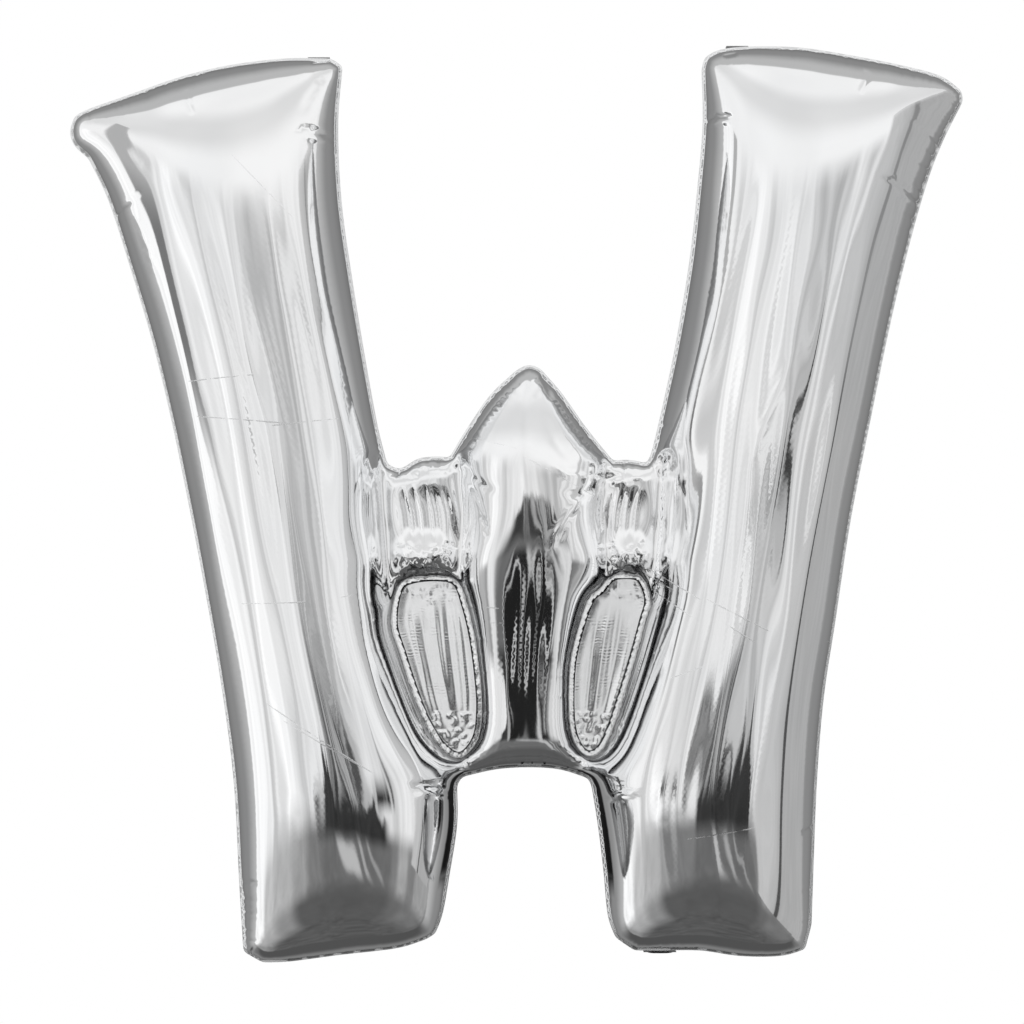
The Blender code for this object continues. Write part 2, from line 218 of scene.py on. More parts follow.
def is_inside(points, loop):
    x, z = points[:, 0], points[:, 1]
    inside = np.zeros(len(points), bool)
    for (ax, az), (bx, bz) in zip(loop, np.roll(loop, -1, axis=0)):
        if az != bz:
            crosses = (az > z) != (bz > z)
            inside ^= crosses & (x < ax + (bx - ax) * (z - az) / (bz - az))
    return inside


def between_seams(points, seams):
    inside = is_inside(points, seams[0])
    for seam in seams[1:]:
        inside &= ~is_inside(points, seam)
    return inside


def cover_with_triangles(seams, insets, row_step, inner_step, fine_boxes=()):
    """Points, triangles and the number of seam points, which come first."""
    seam_tree = near_tree(np.vstack([spaced(seam, FINE_STEP, closed=True) for seam in seams]))
    outlines = [seam[::4] for seam in seams]
    cells = {}
    kept = []

    def keep(candidates, spacing):
        for x, z in candidates:
            home = (int(x // CELL), int(z // CELL))
            near = [point for i in (-1, 0, 1) for j in (-1, 0, 1)
                    for point in cells.get((home[0] + i, home[1] + j), ())]
            if all((x - a) ** 2 + (z - b) ** 2 > spacing ** 2 for a, b in near):
                cells.setdefault(home, []).append((x, z))
                kept.append((x, z))

    for row, inset in enumerate(insets):
        for number, seam in enumerate(seams):
            step = row_step * (1 if inset < 9 * MM else 1.6)
            candidates = spaced(seam, step, closed=True)
            candidates = candidates + loop_normals(candidates) * (inset if number == 0 else -inset)
            candidates = candidates[is_inside(candidates, outlines[0])] if inset > 3 * MM else candidates
            true = away_from(seam_tree, candidates)
            candidates = candidates[np.abs(true - inset) < 0.10 * inset + 0.03 * MM]
            before = insets[row - 1] if row else 0
            keep(candidates, min(0.75 * step, 0.85 * (inset - before)))
    low, high = seams[0].min(axis=0), seams[0].max(axis=0)
    grid = []
    for number, z in enumerate(np.arange(low[1], high[1], inner_step * math.sqrt(3) / 2)):
        row = np.arange(low[0] + inner_step / 2 * (number % 2), high[0], inner_step)
        grid.append(np.column_stack([row, np.full(len(row), z)]))
    grid = np.vstack(grid)
    grid = grid[between_seams(grid, outlines)]
    true = away_from(seam_tree, grid)
    for left, right, bottom, top, step in fine_boxes:
        across, up = np.arange(left * MM, right * MM, step * MM), np.arange(bottom * MM, top * MM, step * MM)
        fine = np.array([(x + step / 2 * MM * (row % 2), z) for row, z in enumerate(up) for x in across])
        clear = away_from(seam_tree, fine) > 3 * MM
        keep(fine[between_seams(fine, outlines) & clear], 0.62 * step * MM)
    keep(grid[true > (insets[-1] if insets else 0) + 0.6 * inner_step], 0.6 * inner_step)

    points = np.vstack([*seams, kept])
    edges, start = [], 0
    for seam in seams:
        edges += [(start + i, start + (i + 1) % len(seam)) for i in range(len(seam))]
        start += len(seam)
    found = delaunay_2d_cdt([Vector(p) for p in points], edges, [], 0, 1e-9)
    back = {number: origin[0] for number, origin in enumerate(found[3]) if origin}
    triangles = np.array([[back[corner] for corner in face] for face in found[2]])
    triangles = triangles[between_seams(points[triangles].mean(axis=1), seams)]
    a, b, c = (points[triangles[:, i]] for i in range(3))
    turn = (b[:, 0] - a[:, 0]) * (c[:, 1] - a[:, 1]) - (b[:, 1] - a[:, 1]) * (c[:, 0] - a[:, 0])
    triangles[turn < 0] = triangles[turn < 0][:, ::-1]
    return points, triangles[np.abs(turn) > 1e-13], start


def distance_along(points, path):
    """Distance of each point from a path, and how far along the path its nearest spot is."""
    best = np.full(len(points), np.inf)
    share = np.zeros(len(points))
    lengths = np.r_[0, np.cumsum(np.linalg.norm(np.diff(path, axis=0), axis=1))]
    for number, (start, end) in enumerate(zip(path, path[1:])):
        run = end - start
        along = np.clip((points - start) @ run / (run @ run), 0, 1)
        distance = np.linalg.norm(points - start - along[:, None] * run, axis=1)
        closer = distance < best
        best[closer] = distance[closer]
        spot = lengths[number] + along * (lengths[number + 1] - lengths[number])
        share[closer] = (spot / lengths[-1])[closer]
    return best, share


def inflate(points, triangles, seam_count, holds):
    """Half depth at each point and its slope. A blown-up film is round across a long tube,
    which the square root of a membrane's height gives. A hold is a line that tight folds
    between two tubes keep low."""
    total = len(points)
    rows, columns, weights = [], [], []
    load = np.zeros(total)
    corners = [points[triangles[:, i]] for i in range(3)]
    side_a, side_b = corners[1] - corners[0], corners[2] - corners[0]
    twice_area = side_a[:, 0] * side_b[:, 1] - side_a[:, 1] * side_b[:, 0]
    for k in range(3):
        i, j, o = triangles[:, k], triangles[:, (k + 1) % 3], triangles[:, (k + 2) % 3]
        weight = 0.5 * np.sum((points[i] - points[o]) * (points[j] - points[o]), axis=1) / twice_area
        rows += [i, j]
        columns += [j, i]
        weights += [weight, weight]
        load += np.bincount(i, twice_area / 6, total)
    rows, columns, weights = (np.concatenate(part) for part in (rows, columns, weights))
    order = np.argsort(rows, kind="stable")
    rows, columns, weights = rows[order], columns[order], weights[order]
    starts = np.searchsorted(rows, np.arange(total))
    own = np.add.reduceat(weights, starts)
    area = load.copy()
    held = np.zeros(total)
    for path, half_depth, half_width, strength in holds:
        away, _ = distance_along(points, np.array(path) * MM)
        hold = strength * area * np.exp(-(away / (half_width * MM)) ** 2)
        held += hold
        load += hold * (half_depth * MM) ** 2 / 2
    own = own + held
    free = np.arange(total) >= seam_count
    height = np.zeros(total)
    left = np.where(free, load, 0)
    search = left / own
    size = left @ search
    for _ in range(SOLVER_STEPS):
        pull = np.where(free, own * search - np.add.reduceat(weights * search[columns], starts), 0)
        share = size / (search @ pull)
        height += share * search
        left -= share * pull
        if np.abs(left).max() < SOLVER_PRECISION * load.max():
            break
        scaled = left / own
        size, before = left @ scaled, size
        search = scaled + size / before * search
    slope = np.zeros((total, 2))
    lift = [height[triangles[:, i]] for i in range(3)]
    rise_a, rise_b = lift[1] - lift[0], lift[2] - lift[0]
    face_slope = np.column_stack([rise_a * side_b[:, 1] - rise_b * side_a[:, 1],
                                  rise_b * side_a[:, 0] - rise_a * side_b[:, 0]])
    weight = np.zeros(total)
    for k in range(3):
        weight += np.bincount(triangles[:, k], twice_area, total)
        for axis in (0, 1):
            slope[:, axis] += np.bincount(triangles[:, k], face_slope[:, axis], total)
    return np.sqrt(2 * np.maximum(height, 0)), slope / weight[:, None]


seams = [letter_seam, *window_seams.values()]
insets = [row * MM for row in ROW_INSETS_MM]
plan, triangles, seam_count = cover_with_triangles(seams, insets, SEAM_STEP, INNER_STEP, CRUMPLED_MM)
depth, slope = inflate(plan, triangles, seam_count, HOLD_LINES)


# Films: front and back sheet of metallised film, each drawn round by the gas between its
# seams. The seams gather the film into fine puckers and longer flutes, and they meet at
# the seal. Each sheet is one skin of triangles that carries the film's own normals.
SEAM_HALF_GAP = 0.25 * MM
SEAM_SAMPLE = 0.6 * MM
MM_PER_PIXEL = 0.917
PHOTO_MIDDLE = (516, 504.5)
FLUTE_COUNT, MIDDLE_FLUTES, WAVE_COUNT = 64, 20, 14
WAVE_HEIGHT = 0.00006

# Bulges that the seams' pull makes fuller or flatter: middle, half widths and gain.
FILM_SWELLS = [
    ((-175, -130), (120, 120), 0.055),
    ((160, -140), (120, 120), 0.055),
    ((8, -150), (52, 110), -0.48),
    ((-86, -50), (34, 15), 0.30),
    ((104, -49), (26, 14), 0.30),
]
# Puckers: run, from and to share of the run, spacing, width, height and reach in millimetres.
PUCKERS = [
    ("left_top", 0.00, 0.12, 7, 2.4, 0.9, 34),
    ("left_top", 0.12, 0.55, 5.6, 1.8, 1.25, 40),
    ("left_top", 0.55, 0.80, 8.5, 2.2, 0.40, 36),
    ("left_inner", 0.00, 0.22, 6.5, 2.2, 0.22, 52),
    ("left_inner", 0.22, 0.90, 9.5, 2.6, 0.07, 46),
    ("left_inner", 0.90, 1.00, 6, 2.2, 1.1, 34),
    ("left_bridge", 0.00, 1.00, 7.5, 2.6, 1.8, 40),
    ("peak_left", 0.00, 1.00, 6.2, 2.0, 0.70, 40),
    ("peak_top", 0.00, 1.00, 5.5, 2.0, 0.45, 30),
    ("peak_right", 0.00, 1.00, 6.2, 2.0, 0.85, 42),
    ("right_bridge", 0.00, 1.00, 7.5, 2.6, 1.8, 40),
    ("right_inner", 0.00, 0.10, 6, 2.2, 1.1, 34),
    ("right_inner", 0.10, 1.00, 10, 2.8, 0.06, 46),
    ("right_top", 0.00, 0.25, 8, 2.6, 0.20, 34),
    ("right_top", 0.25, 0.80, 6.8, 2.0, 0.85, 40),
    ("right_top", 0.80, 1.00, 6.8, 2.6, 0.60, 40),
    ("right_outer", 0.00, 0.17, 6.0, 1.8, 1.50, 58),
    ("right_outer", 0.17, 0.45, 6.6, 1.7, 0.40, 46),
    ("right_outer", 0.45, 0.94, 9.5, 2.6, 0.05, 50),
    ("right_outer", 0.94, 1.00, 7.0, 2.2, 0.50, 40),
    ("right_foot", 0.00, 0.62, 8.0, 2.6, 0.35, 34),
    ("right_foot", 0.62, 1.00, 5.6, 2.2, 1.20, 36),
    ("right_leg_inner", 0.00, 0.80, 8.5, 2.4, 0.22, 34),
    ("right_leg_inner", 0.80, 1.00, 6.0, 2.2, 0.8, 26),
    ("arch", 0.00, 1.00, 7.5, 2.2, 0.45, 28),
    ("left_leg_inner", 0.00, 0.20, 6.0, 2.2, 0.8, 26),
    ("left_leg_inner", 0.20, 1.00, 8.5, 2.4, 0.22, 34),
    ("left_foot", 0.00, 1.00, 8.0, 2.6, 0.35, 34),
    ("left_outer", 0.00, 0.10, 6.4, 1.6, 1.40, 42),
    ("left_outer", 0.10, 0.80, 9.5, 2.6, 0.05, 50),
    ("left_outer", 0.80, 1.00, 8.0, 2.4, 0.14, 44),
    ("left_corner", 0.00, 1.00, 6.0, 2.2, 0.5, 24),
    ("left", 0.00, 1.00, 6.2, 2.0, 0.75, 24),
    ("right", 0.00, 1.00, 6.2, 2.0, 0.75, 24),
]
# Creases that stand alone: points in the photograph's pixels, width and height in
# millimetres, below zero where the film is drawn in.
CREASES = [
    ([(112, 221), (122, 214), (134, 209), (140, 206)], 1.8, -0.9),
    ([(128, 205), (138, 202), (150, 198)], 3.0, -0.25),
    ([(338, 142), (324, 137), (308, 134), (296, 138)], 2.2, -1.1),
    ([(336, 146), (322, 143), (306, 146)], 2.0, 0.5),
    ([(702, 124), (712, 119), (724, 122), (730, 124)], 1.9, -1.6),
    ([(704, 129), (716, 126), (728, 129)], 2.0, 0.7),
    ([(930, 213), (905, 196), (885, 186), (868, 182)], 2.2, -1.2),
    ([(918, 212), (903, 203), (888, 197)], 1.8, 0.9),
    ([(826, 829), (812, 826), (796, 829)], 2.0, -1.3),
    ([(240, 880), (252, 878), (264, 880)], 1.8, -0.8),
    ([(90, 142), (104, 138), (126, 146), (150, 168), (168, 200)], 6.5, -0.5, 0.45),
    ([(128, 205), (142, 222), (154, 250), (164, 290)], 3.0, 0.5, 0.45),
    ([(310, 64), (320, 62), (331, 60)], 1.9, -1.5),
    ([(720, 58), (728, 57), (738, 55)], 1.9, -1.3),
    ([(335, 74), (322, 84), (312, 104), (306, 126)], 5.0, -0.9),
    ([(860, 74), (862, 84), (852, 102)], 2.4, -1.0),
    ([(190, 94), (193, 104), (200, 124)], 2.4, -0.7),
    ([(415, 786), (435, 790), (456, 795)], 3.0, 1.3),
    ([(410, 778), (432, 781), (452, 786)], 3.0, -1.2),
    ([(640, 786), (624, 789), (604, 796)], 3.0, 1.3),
    ([(455, 462), (470, 478), (486, 488), (500, 492)], 4.5, -1.1),
    ([(459, 470), (474, 492), (484, 520), (488, 545)], 2.6, -1.0),
    ([(614, 472), (600, 486), (582, 496), (556, 492)], 4.2, -1.3),
    ([(604, 470), (588, 478), (566, 476), (548, 462)], 3.4, 0.8),
    ([(588, 492), (570, 512), (556, 532), (549, 556)], 3.0, 1.0),
    ([(582, 500), (566, 522), (556, 546)], 2.6, -0.8),
    ([(541, 372), (549, 390), (552, 402)], 3.2, -1.2),
    ([(536, 362), (528, 380), (524, 420), (522, 470)], 7.0, 0.8),
    ([(545, 400), (560, 430), (584, 458), (600, 470)], 5.0, 0.7),
    ([(543, 412), (552, 440), (570, 466)], 3.6, -0.6),
]


def in_letter(pixels):
    """Points of the photograph in the letter's own plane, in metres."""
    x, y = np.asarray(pixels, float).T
    return np.column_stack([x - PHOTO_MIDDLE[0], PHOTO_MIDDLE[1] - y]) * MM_PER_PIXEL * MM


# The tubes' edges in the photograph: height, left edge and right edge in pixels.
STROKE_EDGES = {
    "middle": [(500, 478, 592), (560, 486, 582), (640, 490, 570), (700, 488, 568), (755, 492, 572)],
    "left": [(100, 100, 341), (200, 108, 341), (300, 142, 350), (400, 166, 374), (500, 188, 388),
             (600, 207, 394), (700, 224, 418), (800, 237, 450), (950, 240, 440)],
    "right": [(90, 702, 958), (200, 697, 922), (300, 682, 896), (400, 664, 875), (500, 654, 854),
              (600, 645, 837), (700, 622, 824), (800, 600, 816), (950, 620, 812)],
}


def flutes(seed):
    """Long shallow folds that run down a stroke as the gas tightens it."""
    rng = np.random.default_rng(seed)
    made = []
    for tube, edges in STROKE_EDGES.items():
        heights, left, right = np.array(edges, float).T
        for _ in range(MIDDLE_FLUTES if tube == "middle" else FLUTE_COUNT):
            share = rng.uniform(0.10, 0.90)
            top = rng.choice([rng.uniform(110, 240), rng.uniform(240, 760)], p=[0.55, 0.45])
            length = rng.uniform(160, 560)
            if tube == "middle":
                top, length = rng.uniform(490, 620), rng.uniform(120, 260)
            drift = rng.normal(0, 0.025)
            rows = np.linspace(top, min(top + length, heights[-1] - 30), 7)
            sway = 0.006 * np.sin(np.linspace(0, 5, 7) + rng.uniform(0, 6))
            across = share + drift * np.linspace(-1, 1, 7) + sway
            x = np.interp(rows, heights, left) * (1 - across) + np.interp(rows, heights, right) * across
            width = rng.uniform(3.6, 5.0) if tube == "middle" else rng.uniform(3.6, 9.0)
            height = rng.choice([-1, 1]) * width * rng.uniform(0.02, 0.09) * (1.5 if tube == "middle" else 1)
            made.append((np.column_stack([x, rows]), width, height, 0.5))
    return made


class SeamMap:
    """Where each plan point is along its nearest seam and how far in from it."""

    def __init__(self, seams):
        self.loops = [spaced(seam, SEAM_SAMPLE, closed=True) for seam in seams]
        self.starts = np.cumsum([0] + [len(loop) for loop in self.loops])
        self.points = np.vstack(self.loops)
        self.inward = np.vstack([loop_normals(loop) * (-1 if number else 1)
                                 for number, loop in enumerate(self.loops)])
        self.along = np.column_stack([self.inward[:, 1], -self.inward[:, 0]])
        self.position = np.arange(len(self.points)) * SEAM_SAMPLE
        self.tree = near_tree(self.points)

    def locate(self, points):
        nearest = np.array([self.tree.find((x, z, 0))[1] for x, z in points])
        off = points - self.points[nearest]
        past = np.clip(np.sum(off * self.along[nearest], axis=1), -0.4 * MM, 0.4 * MM)
        along = self.position[nearest] + past
        inset = np.abs(np.sum(off * self.inward[nearest], axis=1))
        return nearest, along, inset


def gather(seam_map, seed):
    """Puckers along every seam: place, width, height, reach and slant, in order of place."""
    rng = np.random.default_rng(seed)
    made = []
    for number, loop in enumerate(seam_map.loops):
        spot, end = 0.0, len(loop) * SEAM_SAMPLE
        while spot < end:
            sample = min(int(spot / SEAM_SAMPLE), len(loop) - 1)
            if number == 0:
                found = run_tree.find((*loop[sample], 0))[1]
                run = run_of_sample[found]
                first = np.searchsorted(run_of_sample, run)
                name, share = run_names[run], (found - first) / len(edge_runs[run])
            else:
                name, share = list(WINDOW_EDGE_MM)[number - 1], spot / end
            row = next((row for row in PUCKERS if row[0] == name and row[1] <= share <= row[2]), None)
            if row is None:
                spot += 5 * MM
                continue
            spacing, width, height, reach = row[3:]
            made.append((seam_map.starts[number] * SEAM_SAMPLE + spot, width * MM * rng.uniform(0.7, 1.35),
                         height * MM * rng.uniform(0.25, 1.5), reach * MM * rng.uniform(0.5, 1.25),
                         rng.normal(0, 0.06)))
            spot += spacing * MM * rng.uniform(0.6, 1.5)
    return np.array(made)


def pucker_push(puckers, along, reach):
    push = np.zeros(len(along))
    at = np.searchsorted(puckers[:, 0], along)
    for step in range(-4, 4):
        index = np.clip(at + step, 0, len(puckers) - 1)
        place, width, height, length, slant = puckers[index].T
        off = (along + slant * reach - place) / width
        fade = (1 - np.exp(-(reach / (5 * MM)) ** 2)) * np.clip(1 - reach / length, 0, 1) ** 1.3
        fresh = (at + step >= 0) & (at + step < len(puckers))
        push -= fresh * height * fade / (1 + off ** 2) ** 1.5
    return push


def crease_push(creases, points):
    push = np.zeros(len(points))
    for path, width, height, fade in creases:
        low, high = path.min(axis=0) - 4 * width, path.max(axis=0) + 4 * width
        near = np.where(np.all((points > low) & (points < high), axis=1))[0]
        if len(near):
            away, share = distance_along(points[near], path)
            ends = np.clip(share / fade, 0, 1) * np.clip((1 - share) / fade, 0, 1)
            ends = ends * ends * (3 - 2 * ends)
            push[near] += height * ends * np.exp(-(away / width) ** 2)
    return push


def peak_pearls(seed):
    """Rows of small dimples that run beside the peak's two seams."""
    rng = np.random.default_rng(seed)
    made = []
    for (x0, y0), (x1, y1) in (((560, 392), (608, 456)), ((552, 398), (592, 452)), ((506, 396), (470, 452))):
        for share in np.arange(0, 1, 0.085):
            x, y = x0 + (x1 - x0) * share, y0 + (y1 - y0) * share
            reach = rng.uniform(2.0, 3.4)
            path = [(x - reach, y + reach * 0.4), (x, y), (x + reach, y - reach * 0.4)]
            made.append((path, 1.9, rng.uniform(-0.55, -0.2)))
    return made


def bridge_folds(seed):
    """Upright pleats over each bridge, puffs at its top and the crumple above its window."""
    rng = np.random.default_rng(seed)
    made = []
    for left, right, lean in ((392, 456, 13), (606, 648, -11)):
        for number, x in enumerate(np.arange(left + 3, right - 2, 5.4)):
            x = x + rng.uniform(-1.0, 1.0)
            path = [(x, 482 + rng.uniform(-5, 5)), (x + lean / 2, 512),
                    (x + lean * 0.8, 548 + rng.uniform(-5, 5))]
            made.append((path, rng.uniform(1.7, 2.5), (-1) ** number * rng.uniform(0.45, 0.9)))
        for _ in range(5):
            x, y = rng.uniform(left, right), rng.uniform(466, 486)
            path = [(x - 7, y + rng.uniform(-4, 4)), (x, y), (x + 7, y + rng.uniform(-4, 4))]
            made.append((path, rng.uniform(2.2, 3.6), rng.choice([-1, 1]) * rng.uniform(0.5, 1.2)))
        for _ in range(44):
            x, y, turn = rng.uniform(left + 4, right - 2), rng.uniform(543, 584), rng.uniform(0, 3.14)
            reach = rng.uniform(3, 7)
            path = [(x - reach * math.cos(turn), y - reach * math.sin(turn)), (x, y + rng.uniform(-1, 1)),
                    (x + reach * math.cos(turn), y + reach * math.sin(turn))]
            made.append((path, rng.uniform(1.3, 2.1), rng.choice([-1, 1]) * rng.uniform(0.35, 0.9)))
    return made


def slow_waves(seed):
    """Long uneven waves in the film: direction, phase and height."""
    rng = np.random.default_rng(seed)
    waves = []
    for _ in range(WAVE_COUNT):
        across, up = 2 * math.pi / rng.uniform(0.028, 0.12), 2 * math.pi / rng.uniform(0.5, 1.6)
        across *= rng.choice([-1, 1])
        waves.append((across, up, rng.uniform(0, 6.28), WAVE_HEIGHT * rng.uniform(0.4, 1.2)))
    return waves


def add_mesh(name, points, faces):
    mesh = bpy.data.meshes.new(name)
    mesh.from_pydata(points, [], faces)
    return add_object(name, mesh)


def film_sheet(name, side, seed, creases):
    """The sheet in front (side -1) or behind (side 1)."""
    swell = np.ones(len(plan))
    turn = np.zeros((len(plan), 2))
    for (x, z), (wide, tall), gain in FILM_SWELLS:
        size = np.array([wide, tall]) * MM
        off = (plan - np.array([x, z]) * MM) / size
        part = gain * np.exp(-np.sum(off ** 2, axis=1))
        swell += part
        turn += part[:, None] * -2 * off / size
    half = depth * swell
    fall = slope * (swell ** 2)[:, None] + (depth ** 2 * swell)[:, None] * turn
    normals = unit(np.column_stack([-fall[:, 0], side * half, -fall[:, 1]]))

    nearest, along, inset = seam_map.locate(plan)
    puckers = gather(seam_map, seed)
    drawn = creases + flutes(seed + 7) + bridge_folds(seed + 2) + peak_pearls(seed + 4)
    lines = [(in_letter(path), width * MM, height * MM, *(fade or [0.3]))
             for path, width, height, *fade in drawn]
    waves = slow_waves(seed + 3)
    calm = np.clip(half / 0.03, 0, 1)

    def push_at(shift):
        here = plan + shift[:, [0, 2]]
        moved_along = along + np.sum(shift[:, [0, 2]] * seam_map.along[nearest], axis=1)
        moved_in = np.maximum(inset + np.sum(shift[:, [0, 2]] * seam_map.inward[nearest], axis=1), 0)
        reach = np.hypot(moved_in, half + side * shift[:, 1])
        push = pucker_push(puckers, moved_along, reach) + crease_push(lines, here)
        for across, up, phase, height in waves:
            push += calm * height * np.sin(across * here[:, 0] + up * here[:, 1] + phase)
        return push

    upright = np.abs(normals[:, 2]) > 0.9
    first = unit(np.cross(normals, np.where(upright[:, None], [1.0, 0, 0], [0, 0, 1.0])))
    second = np.cross(normals, first)
    little = 0.25 * MM
    push = push_at(np.zeros((len(plan), 3)))
    tilt_first = (push_at(first * little) - push_at(-first * little)) / (2 * little)
    tilt_second = (push_at(second * little) - push_at(-second * little)) / (2 * little)
    points = np.column_stack([plan[:, 0], side * (SEAM_HALF_GAP + half), plan[:, 1]])
    points += normals * push[:, None]
    points[:seam_count, [0, 2]], points[:seam_count, 1] = plan[:seam_count], side * SEAM_HALF_GAP
    shade = unit(normals - first * tilt_first[:, None] - second * tilt_second[:, None])

    faces = triangles if side < 0 else triangles[:, ::-1]
    sheet = add_mesh(name, points.tolist(), faces.tolist())
    mesh = sheet.data
    mesh.shade_smooth()
    mesh.normals_split_custom_set_from_vertices(shade.tolist())
    # Painted shade: a mask, 1 up to 2.4 mm from each window seam and 0 beyond 4.6 mm, that darkens the
    # film's colour to near black there in place of the shade in the narrow fold at the seam.
    by_window = nearest >= seam_map.starts[1]
    painted_seam_shade = np.where(by_window, np.clip(1 - (inset - 2.4 * MM) / (2.2 * MM), 0, 1), 0)
    mesh.attributes.new("painted_seam_shade", "FLOAT", "POINT").data.foreach_set("value", painted_seam_shade.astype(np.float32))
    return sheet


seam_map = SeamMap(seams)


class Value:
    """A node's socket that Python sums and products can use: each one adds a Math node."""

    def __init__(self, socket):
        self.socket = socket

    @classmethod
    def node(cls, tree, kind, settings, sockets, output=0):
        """A new node's output, if it has one, once its settings and then its sockets are set."""
        made = tree.nodes.new(kind)
        for name, setting in settings.items():
            setattr(made, name, setting)
        for name, value in sockets.items():
            if isinstance(value, cls):
                tree.links.new(value.socket, made.inputs[name])
            else:
                made.inputs[name].default_value = value
        return cls(made.outputs[output]) if made.outputs else None

    def math(self, operation, *others):
        sockets = dict(enumerate((self, *others)))
        return self.node(self.socket.id_data, "ShaderNodeMath", {"operation": operation}, sockets)

    def rise(self, low, high):
        """0 below low, 1 above high and smooth between."""
        sockets = {"Value": self, "From Min": low, "From Max": high}
        settings = {"interpolation_type": "SMOOTHSTEP"}
        return self.node(self.socket.id_data, "ShaderNodeMapRange", settings, sockets)

    def __add__(self, other): return self.math("ADD", other)
    def __radd__(self, other): return self.math("ADD", other)
    def __sub__(self, other): return self.math("SUBTRACT", other)
    def __rsub__(self, other): return (self * -1).math("ADD", other)
    def __mul__(self, other): return self.math("MULTIPLY", other)
    def __rmul__(self, other): return self.math("MULTIPLY", other)
    def __truediv__(self, other): return self.math("DIVIDE", other)


def new_finish(name, metallic):
    """A material, its shader, its object position and that position's X, Y and Z."""
    finish = bpy.data.materials.new(name)
    finish.use_nodes = True
    tree = finish.node_tree
    shader = tree.nodes["Principled BSDF"]
    shader.inputs["Metallic"].default_value = metallic
    where = Value.node(tree, "ShaderNodeTexCoord", {}, {}, "Object")
    axes = [Value.node(tree, "ShaderNodeSeparateXYZ", {}, {0: where}, axis) for axis in range(3)]
    return finish, shader, where, axes


def noise(tree, where, scale, detail=2.0):
    sockets = {"Vector": where, "Scale": scale, "Detail": detail}
    return Value.node(tree, "ShaderNodeTexNoise", {}, sockets, "Fac")


def streaks(tree, where, squash, scale, detail):
    """Noise drawn out upwards: the smaller the squash, the longer its upright streaks."""
    drawn = Value.node(tree, "ShaderNodeMapping", {}, {"Vector": where, "Scale": (1.0, 1.0, squash)})
    return noise(tree, drawn, scale, detail)


def mixed(tree, factor, a, b):
    """The colour a where the factor is 0 and b where it is 1."""
    return Value.node(tree, "ShaderNodeMix", {"data_type": "RGBA"}, {0: factor, 6: a, 7: b}, 2)


def bump(tree, strength, distance, height, **settings):
    sockets = {"Strength": strength, "Distance": distance, "Height": height}
    return Value.node(tree, "ShaderNodeBump", settings, sockets)


def feed(shader, name, value):
    if isinstance(value, Value):
        shader.id_data.links.new(value.socket, shader.inputs[name])
    else:
        shader.inputs[name].default_value = value


# Fold lines left in the film from when it was packed flat: the photograph's pixels at both
# ends, and how strongly each line scatters light.
FOLD_LINES = [
    ((192, 384), (262, 378), 0.9), ((200, 418), (300, 426), 0.8), ((276, 428), (344, 420), 0.9),
    ((243, 602), (312, 600), 0.8), ((342, 596), (362, 592), 0.9), ((270, 698), (378, 768), 0.8),
    ((286, 714), (368, 762), 0.5), ((644, 566), (700, 600), 1.0), ((700, 596), (766, 630), 0.9),
    ((652, 590), (690, 616), 0.8), ((722, 622), (750, 640), 0.8), ((664, 676), (700, 662), 0.9),
    ((680, 832), (752, 820), 0.7), ((235, 160), (300, 226), 0.5), ((640, 570), (672, 590), 0.9),
    ((482, 606), (504, 608), 0.8), ((488, 622), (506, 622), 0.6), ((520, 455), (600, 500), 0.6),
    ((470, 438), (520, 450), 0.5), ((820, 640), (838, 642), 0.6),
]

silver, shader, where, (x, y, z) = new_finish("silver_film", 1)
tree = silver.node_tree
haze = noise(tree, where, 9, 3)
scuffs = noise(tree, where, 160, 4)
folds = None
for ends in FOLD_LINES:
    (x0, z0), (x1, z1) = in_letter(ends[:2])
    length = math.hypot(x1 - x0, z1 - z0)
    ux, uz = (x1 - x0) / length, (z1 - z0) / length
    away = ((x - x0) * uz - (z - z0) * ux).math("ABSOLUTE")
    along = (x - x0) * ux + (z - z0) * uz
    begun, ended = along.rise(0, 6 * MM), along.rise(length - 6 * MM, length)
    line = (1 - away.rise(0.25 * MM, 0.75 * MM)) * begun * (1 - ended) * ends[2]
    folds = line if folds is None else folds.math("MAXIMUM", line)
folds = folds * (1 - y.rise(-4 * MM, 0)) * scuffs.rise(0.34, 0.52)
feed(shader, "Roughness", haze * 0.05 + scuffs * 0.03 + folds * 0.5 + 0.015)
tint = mixed(tree, haze.rise(0.3, 0.7), (0.925, 0.932, 0.94, 1), (0.955, 0.957, 0.96, 1))
# Painted shade: next to the window seams the base colour is mixed towards near black by the seam mask that
# film_sheet stores on each sheet.
painted_seam_shade = Value.node(tree, "ShaderNodeAttribute", {"attribute_name": "painted_seam_shade"}, {}, "Fac")
feed(shader, "Base Color", mixed(tree, painted_seam_shade * 0.88, tint, (0.03, 0.03, 0.032, 1)))
crinkle = noise(tree, where, 420, 2) * 0.4 + noise(tree, where, 60, 2)
feed(shader, "Normal", bump(tree, 0.05, 0.2 * MM, crinkle + folds * 2))


def dress(piece, node, body, finish):
    """Gives a piece its film, hides the CAD node that it stands for and parents it to the empty of the body
    that it rides on.
    """
    piece.data.materials.append(finish)
    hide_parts(node)
    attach(piece, body)


# The pattern that a sheet was cut to is wider than the blown-up letter, as a tube's round
# front is longer than its width.
for name, side in (("front_film", -1), ("back_film", 1)):
    sheet = film_sheet(name + "_skin", side, 11 if side < 0 else 29, CREASES if side < 0 else [])
    dress(sheet, name, "envelope", silver)


# Seals: round the letter and round each window the two films are one flat band, pressed
# with fine cross ribs by the sealing bar. A band's edge next to the gas lies between the films.
BAND_THICKNESS = 0.24 * MM
BAND_WIDTH = 3.6 * MM
BAND_STEP = 2.4 * MM


